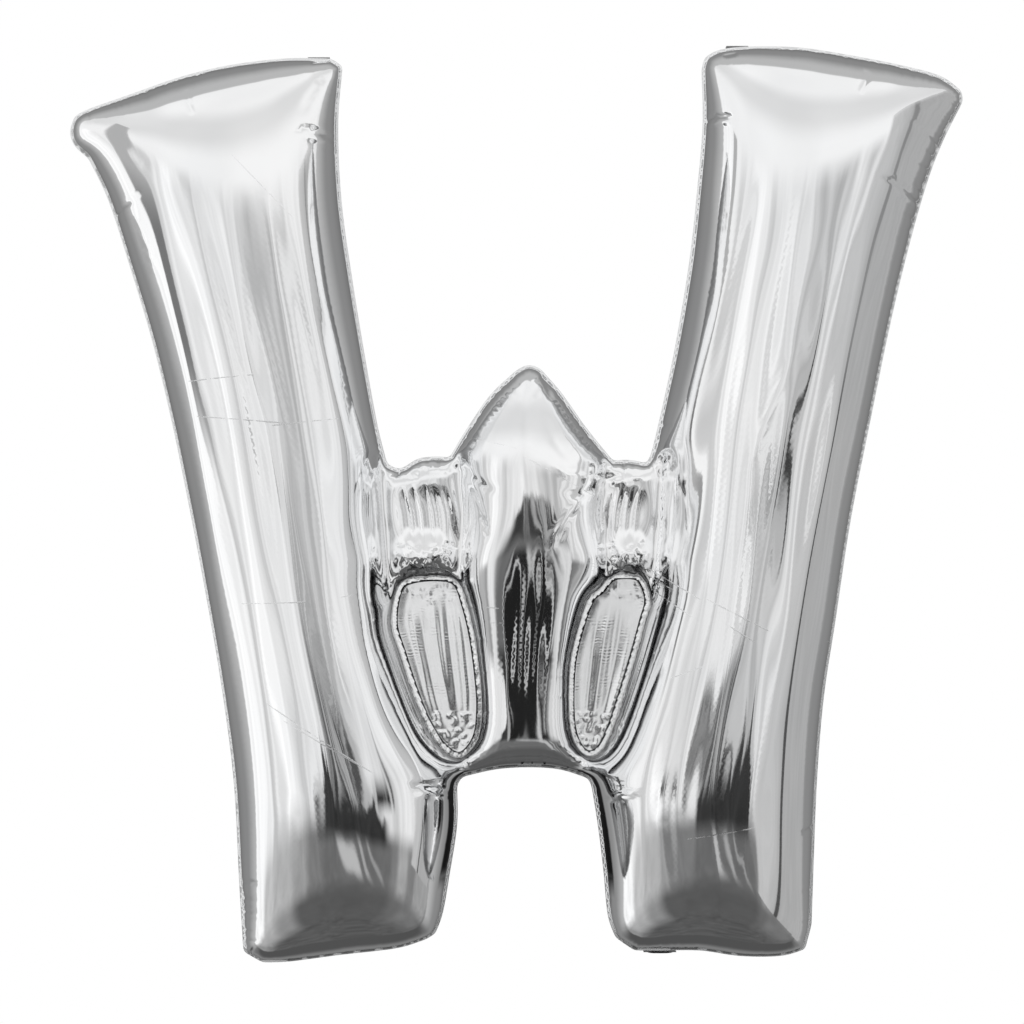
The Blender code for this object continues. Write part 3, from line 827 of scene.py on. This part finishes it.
def flat_film(name, loops, step, lift, thickness):
    """A thin flat sheet between loops, lifted out of its plane, with a front, back and rim."""
    points, faces, _ = cover_with_triangles(loops, [], step, step)
    shift = lift(points)
    tilt = np.column_stack([(lift(points + [0.2 * MM, 0]) - lift(points - [0.2 * MM, 0])) / (0.4 * MM),
                            (lift(points + [0, 0.2 * MM]) - lift(points - [0, 0.2 * MM])) / (0.4 * MM)])
    front = np.column_stack([points[:, 0], shift - thickness / 2, points[:, 1]])
    back = front + [0, thickness, 0]
    total = len(points)
    corners = [*faces.tolist(), *(faces[:, ::-1] + total).tolist()]
    shade = unit(np.column_stack([tilt[:, 0], -np.ones(total), tilt[:, 1]]))
    start = 0
    for loop in loops:
        for i in range(len(loop)):
            here, there = start + i, start + (i + 1) % len(loop)
            corners.append([there, here, here + total, there + total])
        start += len(loop)
    sheet = add_mesh(name, np.vstack([front, back]).tolist(), corners)
    mesh = sheet.data
    mesh.shade_smooth()
    split = []
    for corner in corners:
        if len(corner) == 4:
            a, b, c = (Vector(mesh.vertices[k].co) for k in corner[:3])
            face = (b - a).cross(c - b)
            split += [tuple(face.normalized())] * 4 if face.length > 0 else [(0, -1, 0)] * 4
        else:
            split += [tuple(shade[k % total] * (1, -1)[k // total]) for k in corner]
    mesh.normals_split_custom_set(split)
    return sheet


sealed, shader, where, _ = new_finish("sealed_edge", 1)
tree = sealed.node_tree
ribs = Value.node(tree, "ShaderNodeTexWave", {"wave_type": "RINGS", "rings_direction": "SPHERICAL"},
                  {"Vector": where, "Scale": 190.0, "Distortion": 0.6, "Detail": 1.0}, "Fac")
speckle = noise(tree, where, 900, 3)
feed(shader, "Roughness", speckle * 0.14 + ribs * 0.06 + 0.14)
feed(shader, "Base Color", (0.95, 0.955, 0.96, 1))
feed(shader, "Normal", bump(tree, 0.05, 0.1 * MM, ribs + speckle))


def flutter(points):
    """How far the free edge of the outer seal waves out of its plane."""
    x, z = points.T
    return (0.04 * np.sin(x * 190 + 2 * np.sin(z * 31)) + 0.04 * np.sin(z * 170 + 3 * np.sin(x * 23))) * MM


edge_band = spaced(letter_edge, BAND_STEP, closed=True)
inner_band = offset_loop(letter_edge, BAND_WIDTH, BAND_STEP)
outer_seal = flat_film("outer_seal_band", [edge_band, inner_band], BAND_STEP, flutter, BAND_THICKNESS)
dress(outer_seal, "outer_seal", "envelope", sealed)


# Windows: inside each window seam the two films lie flat against each other in a seal, and
# the skin left in the middle is drawn into upright pleats by the tubes on both sides.
WINDOW_BAND = (1.0 * MM, 4.6 * MM)
WEB_INSET = 4.2 * MM
WEB_DISH = 2.0 * MM
# Pleats: points in the photograph's pixels, width and height in millimetres.
WEB_PLEATS = {
    "left": [([(418, 596), (426, 650), (436, 700), (447, 735)], 3.6, 0.85),
             ([(431, 592), (437, 640), (446, 690), (453, 730)], 2.8, -0.8),
             ([(444, 590), (449, 640), (455, 690), (459, 728)], 3.0, 0.8),
             ([(409, 600), (416, 640), (427, 690), (440, 735)], 2.8, -0.65),
             ([(455, 596), (461, 640), (466, 690), (467, 728)], 1.6, -0.75),
             ([(438, 600), (442, 650), (448, 700)], 1.8, 0.4)],
    "right": [([(624, 594), (618, 640), (609, 690), (599, 735)], 3.4, 0.85),
              ([(612, 594), (604, 640), (597, 690), (591, 735)], 2.8, -0.8),
              ([(635, 596), (629, 640), (618, 690), (605, 730)], 2.8, -0.7),
              ([(600, 606), (593, 650), (588, 700), (586, 735)], 2.2, 0.6),
              ([(618, 600), (611, 650), (604, 700)], 1.6, 0.4)],
}


def web_lift(side, seed):
    """The web's dish, its upright pleats and the crumples that are drawn out at its ends."""
    rim = window_seams[side]
    tree = near_tree(spaced(rim, FINE_STEP, closed=True))
    pleats = [(in_letter(path), width * MM, height * MM, 0.3) for path, width, height in WEB_PLEATS[side]]
    foot, head = rim[:, 1].min(), rim[:, 1].max()
    rng = np.random.default_rng(seed)
    cells = np.column_stack([rng.uniform(rim[:, 0].min(), rim[:, 0].max(), 150),
                             foot + rng.uniform(0, 42, 150) * MM, rng.uniform(0.4, 1.3, 150)])
    tufts = np.column_stack([rng.uniform(rim[:, 0].min(), rim[:, 0].max(), 60),
                             head - rng.uniform(0, 26, 60) * MM, rng.uniform(-0.9, 0.9, 60)])

    def lift(points):
        inset = away_from(tree, points)
        free = np.clip((inset - WEB_INSET) / (2.4 * MM), 0, 1)
        x, z = points.T
        dish = 1 - (1 - np.minimum((inset - WEB_INSET) / (11 * MM), 1)) ** 2
        shift = crease_push(pleats, points)
        for spots, width, height, lean in ((cells, 2.4 * MM, -0.55 * MM, -1.2),
                                           (tufts, 2.2 * MM, 0.5 * MM, 0)):
            for cx, cz, strength in spots:
                off = ((x - cx) ** 2 + (z - cz) ** 2) / width ** 2
                near = off < 6
                shift[near] += height * strength * np.exp(-off[near]) * (1 + (z[near] - cz) / width * lean)
        return shift * free + WEB_DISH * dish

    return lift


web_film, shader, where, (_, _, z) = new_finish("web_film", 1)
tree = web_film.node_tree
haze = noise(tree, where, 90, 3)
feed(shader, "Roughness", haze * 0.16 + 0.12)
feed(shader, "Base Color", (0.90, 0.905, 0.91, 1))
wavy = z * 2100 + noise(tree, where, 140, 2) * 9
ripples = wavy.math("SINE") * noise(tree, where, 70, 1).rise(0.5, 0.62)
crinkle = ripples * 0.5 + noise(tree, where, 300, 3)
feed(shader, "Normal", bump(tree, 0.4, 0.18 * MM, crinkle))

scalloped, shader, where, (x, _, z) = new_finish("window_seal", 1)
tree = scalloped.node_tree
feed(shader, "Base Color", (0.95, 0.955, 0.96, 1))
speckle = noise(tree, where, 500, 2)
feed(shader, "Roughness", speckle * 0.12 + 0.12)
beads = (z / (5.2 * MM) + noise(tree, where, 120, 2) * 1.2 + x * 60).math("FRACT")
feed(shader, "Normal", bump(tree, 1.0, 0.75 * MM, beads, invert=True))

for number, (side, seam) in enumerate(window_seams.items()):
    lift = web_lift(side, 5 + number)
    ring = [offset_loop(seam, -WINDOW_BAND[0], SEAM_STEP), offset_loop(seam, WINDOW_BAND[1], SEAM_STEP)]
    band = flat_film(f"{side}_window_band", ring, SEAM_STEP, lambda points: 0 * points[:, 0], BAND_THICKNESS)
    web_rim = offset_loop(seam, WEB_INSET, SEAM_STEP)
    web = flat_film(f"{side}_web_skin", [web_rim], SEAM_STEP, lift, BAND_THICKNESS / 2)
    dress(band, f"{side}_window_seal", "envelope", scalloped)
    dress(web, f"{side}_web", "envelope", web_film)


# Hang tabs: tongues of the same sealed film at the top seam of each stroke, folded back,
# each with a punched hole whose rim is pressed up a little.
TAB_SIZE_MM = {"width": 20, "length": 26, "hole": 3, "thickness": 0.3, "curl": 0.8}


def lay_back(piece, fold_x, fold_z):
    """Turns a piece made in the letter's plane so that it lies back from its fold."""
    mesh = piece.data
    normals = [tuple(corner.vector) for corner in mesh.corner_normals]
    for vertex in mesh.vertices:
        across, low, out = vertex.co
        vertex.co = (fold_x + across, out, fold_z - low)
    mesh.normals_split_custom_set([(nx, nz, -ny) for nx, ny, nz in normals])


def hang_tab(name, fold_x, fold_z):
    half, length = TAB_SIZE_MM["width"] / 2 * MM, TAB_SIZE_MM["length"] * MM
    middle = length - half
    angles = np.radians(np.linspace(0, 180, 25))
    tip = np.column_stack([half * np.cos(angles), middle + half * np.sin(angles)])
    foot = [[-half, 0.0], [half, 0.0]]
    outline = spaced(np.vstack([foot, tip]), 0.8 * MM, closed=True)
    turn = np.radians(np.linspace(0, 360, 32, endpoint=False))[::-1]
    hole = np.column_stack([np.cos(turn), np.sin(turn)]) * TAB_SIZE_MM["hole"] * MM + [0, middle]

    def lift(points):
        across, out = points.T
        away = np.hypot(across, out - middle) / MM - TAB_SIZE_MM["hole"]
        rim = 0.22 * MM * np.exp(-(away / 0.7) ** 2)
        return rim + TAB_SIZE_MM["curl"] * MM * (out / length) ** 2 * np.cos(across / half * 1.4) * 0.6

    tab = flat_film(name, [outline, hole], 0.9 * MM, lift, TAB_SIZE_MM["thickness"] * MM)
    lay_back(tab, fold_x, fold_z)
    return tab


for side in ("left", "right"):
    low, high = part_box(f"{side}_hang_tab")
    tab = hang_tab(f"{side}_tab_tongue", (low[0] + high[0]) / 2, (low[2] + high[2]) / 2)
    dress(tab, f"{side}_hang_tab", f"{side}_tab", sealed)


# Filler tail and valve: a flat tube of the same film that the gas goes in through, folded
# back under the right foot, and the valve's two thin plies, welded inside it.
TUBE_COLUMNS, TUBE_ROWS = 41, 46


def flat_tube(name, width, start, length, half_height, ply, margin, wave):
    """Two plies welded along both sides and open at the ends, in place at the fold."""
    across = np.linspace(-1, 1, TUBE_COLUMNS)
    open_part = np.clip(1 - (np.abs(across) / (1 - 2 * margin / width)) ** 4, 0, 1)
    rows = np.linspace(start, start + length, TUBE_ROWS)
    rings = []
    for share in (1, -1):
        for inner in (False, True):
            height = open_part * (half_height - (ply if inner else 0)) + (0 if inner else ply / 2)
            rings.append(share * np.maximum(height, 0.0002 * MM))
    verts, faces = [], []
    loop = [*[(a, 0) for a in range(TUBE_COLUMNS)], *[(a, 2) for a in reversed(range(TUBE_COLUMNS))]]
    inner_loop = [(a, ring + 1) for a, ring in loop]
    for out in rows:
        bend = wave * math.sin((out - start) * 90) * min(1, (out - start) / (20 * MM))
        verts += [(across[a] * width / 2, out, rings[ring][a] + bend) for a, ring in (*loop, *inner_loop)]
    count = len(loop)
    for r in range(len(rows) - 1):
        for k in range(count):
            here, there = r * 2 * count + k, r * 2 * count + (k + 1) % count
            faces += [(there, here, here + 2 * count, there + 2 * count),
                      (here + count, there + count, there + 3 * count, here + 3 * count)]
    last = (len(rows) - 1) * 2 * count
    for k in range(count):
        after = (k + 1) % count
        faces += [(k, after, after + count, k + count),
                  (last + after, last + k, last + k + count, last + after + count)]
    tube = add_mesh(name, verts, faces)
    tube.data.shade_smooth()
    return tube


milky, shader, where, _ = new_finish("valve_film", 0)
cloud = noise(milky.node_tree, where, 120, 3)
feed(shader, "Roughness", cloud * 0.2 + 0.14)
feed(shader, "Alpha", cloud * 0.3 + 0.5)
feed(shader, "Base Color", (0.80, 0.82, 0.84, 1))

low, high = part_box("filler_tail")
fold_x, fold_z = (low[0] + high[0]) / 2, (low[2] + high[2]) / 2
tail = flat_tube("filler_tail_tube", width=30 * MM, start=0, length=58 * MM, half_height=1.05 * MM,
                 ply=0.12 * MM, margin=3 * MM, wave=0.1 * MM)
sleeve = flat_tube("valve_sleeve_plies", width=18 * MM, start=8 * MM, length=57 * MM, half_height=0.34 * MM,
                   ply=0.08 * MM, margin=2 * MM, wave=0.1 * MM)
for piece, node, finish, slot in ((tail, "filler_tail", silver, "silver_film"),
                                  (sleeve, "valve_sleeve", milky, "valve_film")):
    for vertex in piece.data.vertices:
        vertex.co = (vertex.co.x + fold_x, vertex.co.y, vertex.co.z + fold_z)
    dress(piece, node, "tail", finish)


# Room: what the mirror film reflects. A pale room with bright panels at the sides, dark
# gaps between them, a grey wall behind the letter and a dark floor in front of it.
world = bpy.data.worlds.new("studio")
bpy.context.scene.world = world
world.use_nodes = True
tree = world.node_tree
tree.nodes.clear()
toward = Value.node(tree, "ShaderNodeTexCoord", {}, {}, "Generated")
x, y, z = (Value.node(tree, "ShaderNodeSeparateXYZ", {}, {0: toward}, axis) for axis in range(3))
DEGREES = 180 / math.pi
azimuth = x.math("ARCTAN2", y * -1) * DEGREES
level = z.math("ARCSINE") * DEGREES
polar = (y * -1).math("ARCCOSINE") * DEGREES


def panels(angle, stops, soft=1.0):
    """Brightness that goes from one stop's value to the next at each stop's angle."""
    total = None
    for (_, before), (edge, after) in zip(stops, stops[1:]):
        part = angle.rise(edge - soft, edge + soft) * (after - before)
        total = part if total is None else total + part
    return total + stops[0][1]


def over(base, cover, value):
    """The value where the cover is 1 and the base where it is 0."""
    return base + (value - base) * cover


def between(angle, low, high, soft):
    return angle.rise(low - soft, low + soft) * (1 - angle.rise(high - soft, high + soft))


# Panels round the letter: the angle in degrees from straight in front, left below zero, that
# each one starts at, and its brightness.
LEFT_PANELS = [(-180, 0.12), (-150, 0.17), (-137, 0.25), (-123, 0.34), (-116, 0.52), (-109, 1.0),
               (-88, 0.92), (-75, 0.62), (-66, 0.82), (-56, 1.0), (-45, 0.84), (-37, 0.62),
               (-30, 0.80), (-19, 0.86), (-10, 0.74), (-2, 0.80)]
RIGHT_PANELS = [(4, 0.62), (11, 0.50), (18, 0.60), (24, 0.48), (32, 0.58), (40, 0.80), (47, 0.66),
                (54, 0.78), (61, 0.86), (69, 0.78), (76, 0.70), (82, 0.88), (104, 0.80), (110, 0.40),
                (117, 0.24), (130, 0.16), (180, 0.16)]
LOW_PANELS = [(-180, 0.20), (-125, 0.5), (-109, 1.0), (-88, 0.56), (-72, 0.46), (-50, 0.34),
              (-36, 0.20), (-18, 0.15), (46, 0.22), (53, 0.38), (66, 0.22), (80, 0.34), (108, 0.20),
              (180, 0.20)]
FLOOR_PANELS = [(-180, 0.15), (-135, 0.28), (-104, 0.42), (-70, 0.30), (-50, 0.10), (48, 0.14), (64, 0.18),
                (110, 0.13), (180, 0.13)]
streak = streaks(tree, toward, 0.10, 15, 3)
broad = streaks(tree, toward, 0.10, 6, 2)
walls = panels(azimuth, LEFT_PANELS + RIGHT_PANELS, 2.2) * (streak * 0.56 + 0.72)
low_walls = panels(azimuth, LOW_PANELS, 3.0) * (streak * 0.5 + 0.75)
ground = panels(azimuth, FLOOR_PANELS, 7.0) * (noise(tree, toward, 5, 2) * 0.5 + 0.75)
light = over(walls, 1 - level.rise(-20, -12), low_walls)
slant = azimuth + (level + 14) * 0.8
lobes = between(slant, -7, 1, 2.0) + between(slant, 7, 11, 1.5) * 0.7 + between(slant, 19, 22, 1.2) * 0.5
light = over(light, lobes * between(level, -37, -19, 5), 0.50)
light = over(light, 1 - level.rise(-48, -34), ground)
light = over(light, 1 - level.rise(-76, -58), 0.05 + streak * 0.10)
top_edge = (streak - 0.5) * 20 + (broad - 0.5) * 10 - 7.5
bench = between(azimuth, -19, 42, 3) * (1 - (level - top_edge).rise(-2, 2)) * level.rise(-23, -17)
light = over(light, bench, streak * 0.05 + 0.012)
overhead = 0.93 - between(level, 34, 58, 8) * 0.17 + (noise(tree, toward, 1.6, 1) - 0.5) * 0.16
light = over(light, level.rise(10, 22), overhead)
edge_of_room = level.rise(30, 62) * -13
behind = (polar - edge_of_room).rise(105, 108)
back_wall = 0.50 - polar.rise(104, 130) * 0.24 - polar.rise(130, 178) * 0.12
light = over(light, behind, over(back_wall, 1 - level.rise(-52, -28), 0.085))
direct = Value.node(tree, "ShaderNodeLightPath", {}, {}, "Is Camera Ray")
light = light * (1 - direct) + direct
background = Value.node(tree, "ShaderNodeBackground", {}, {"Color": light})
Value.node(tree, "ShaderNodeOutputWorld", {}, {"Surface": background})
bpy.context.scene.view_settings.view_transform = "Standard"


# Cards: bright and dark boards that stand round the letter as in a photo studio. Most have
# soft edges, and all show in the film's reflections and nowhere else.
def card(name, corners, lean=0.0):
    """A card from one corner at its foot to the other at its top, which leans sideways."""
    (x0, y0, low), (x1, y1, high) = corners
    face = [(x0, y0, low), (x1, y1, low), (x1 + lean, y1, high), (x0 + lean, y0, high)]
    made = add_mesh(name, face, [(0, 1, 2, 3)])
    finish, shader, where, axes = new_finish(name, 0)
    finish.node_tree.nodes.remove(shader)
    made.data.materials.append(finish)
    made.visible_camera = made.visible_shadow = made.visible_diffuse = False
    made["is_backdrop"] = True
    return finish.node_tree, where, axes


def light_up(tree, brightness, cover):
    """The card gives off its brightness where it covers and is clear elsewhere."""
    glow = Value.node(tree, "ShaderNodeEmission", {}, {"Color": brightness})
    clear = Value.node(tree, "ShaderNodeBsdfTransparent", {}, {})
    mix = Value.node(tree, "ShaderNodeMixShader", {}, {0: cover, 1: clear, 2: glow})
    tree.links.new(mix.socket, tree.nodes["Material Output"].inputs["Surface"])


# A dark stand in front of the letter, seen by both legs.
tree, where, (x, _, z) = card("dark_stand", [(-0.30, -1.2, -0.60), (0.50, -1.2, 0.10)])
streak = streaks(tree, where, 0.05, 26, 3)
top = (streak - 0.5) * 0.30 - 0.04
cover = between(x, -0.22, 0.40, 0.03) * (1 - (z - top).rise(-0.05, 0.05)) * z.rise(-0.56, -0.36)
light_up(tree, streak.rise(0.42, 0.66) * 0.36 + 0.04, cover * 0.92)

# A low dark board near the middle tube, with light between its slats.
tree, where, (x, _, z) = card("dark_board", [(-0.06, -0.21, -0.34), (0.07, -0.21, -0.05)])
slats = streaks(tree, where, 0.06, 75, 1)
cover = between(x, -0.036, 0.048, 0.008) * between(z, -0.29, -0.115, 0.02)
light_up(tree, slats.rise(0.46, 0.72) * 0.62 + 0.015, cover)

# A dark board between the legs, and a pale sheet of paper in front of each window.
tree, where, (_, y, z) = card("black_board", [(0.012, 0.03, -0.40), (0.012, 0.20, -0.24)])
light_up(tree, noise(tree, where, 9, 1) * 0.02, z.rise(-0.385, -0.355) * y.rise(0.035, 0.055))
for side, left, right, brightness in (("left", -0.125, -0.045, 0.80), ("right", 0.045, 0.14, 0.72)):
    tree, where, (x, _, z) = card(f"{side}_paper", [(left, -0.13, -0.28), (right, -0.13, -0.03)])
    paper = brightness + (streaks(tree, where, 0.1, 60, 2) - 0.5) * 0.5
    cover = between(x, left + 0.015, right - 0.015, 0.012) * between(z, -0.25, -0.050, 0.02)
    light_up(tree, paper, cover * 0.95)

# A dark post close to the letter's left side and a grey wall close to its right side.
tree, where, (_, y, z) = card("dark_post", [(-0.51, -0.22, -0.15), (-0.51, -0.04, 0.62)], -0.16)
light_up(tree, z.rise(0.20, 0.34) * 0.26 + 0.19, between(y, -0.172, -0.082, 0.007) * z.rise(-0.06, 0.10))
tree, where, (_, y, z) = card("grey_wall", [(0.42, -0.27, -0.55), (0.42, 0.12, 0.55)], 0.21)
grey = 0.55 - y.rise(-0.20, -0.10) * 0.13 + (streaks(tree, where, 0.05, 60, 2) - 0.5) * 0.12
gap = between(y, -0.125, -0.104, 0.003) * (0.9 - z.rise(0.02, 0.12) * 0.45)
light_up(tree, over(grey, gap, 0.04), between(y, -0.25, 0.09, 0.015) * (1 - z.rise(0.50, 0.60)))

# The dark cloth just behind the letter's middle.
tree, where, (x, _, z) = card("dark_cloth", [(-0.20, 0.32, -0.50), (0.23, 0.32, -0.06)])
cover = between(z, -0.40, -0.12, 0.06) * between(x, -0.15, 0.18, 0.03)
light_up(tree, noise(tree, where, 12, 2) * 0.06 + 0.03, cover)


# Floor and lamp: the letter floats above a plain pale floor that the film doesn't mirror, and
# a wide soft lamp over it lights that floor; the film itself shows only the room round it.
FLOOR_HALF, FLOOR_HEIGHT = 5, -1.2
corners = [(x * FLOOR_HALF, y * FLOOR_HALF, FLOOR_HEIGHT) for x, y in ((-1, -1), (1, -1), (1, 1), (-1, 1))]
floor = add_mesh("floor", corners, [(0, 1, 2, 3)])
pale_floor, shader, where, _ = new_finish("pale_floor", 0)
feed(shader, "Roughness", noise(pale_floor.node_tree, where, 3, 3) * 0.1 + 0.7)
feed(shader, "Base Color", (0.92, 0.92, 0.92, 1))
floor.data.materials.append(pale_floor)
floor.visible_glossy = False
floor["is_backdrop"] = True

lamp = bpy.data.lights.new("soft_overhead", "AREA")
lamp.shape, lamp.size, lamp.energy = "DISK", 2.5, 60
overhead_light = add_object("soft_overhead", lamp)
overhead_light.location = (0.4, -0.8, 2.6)
overhead_light.visible_glossy = False


low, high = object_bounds()
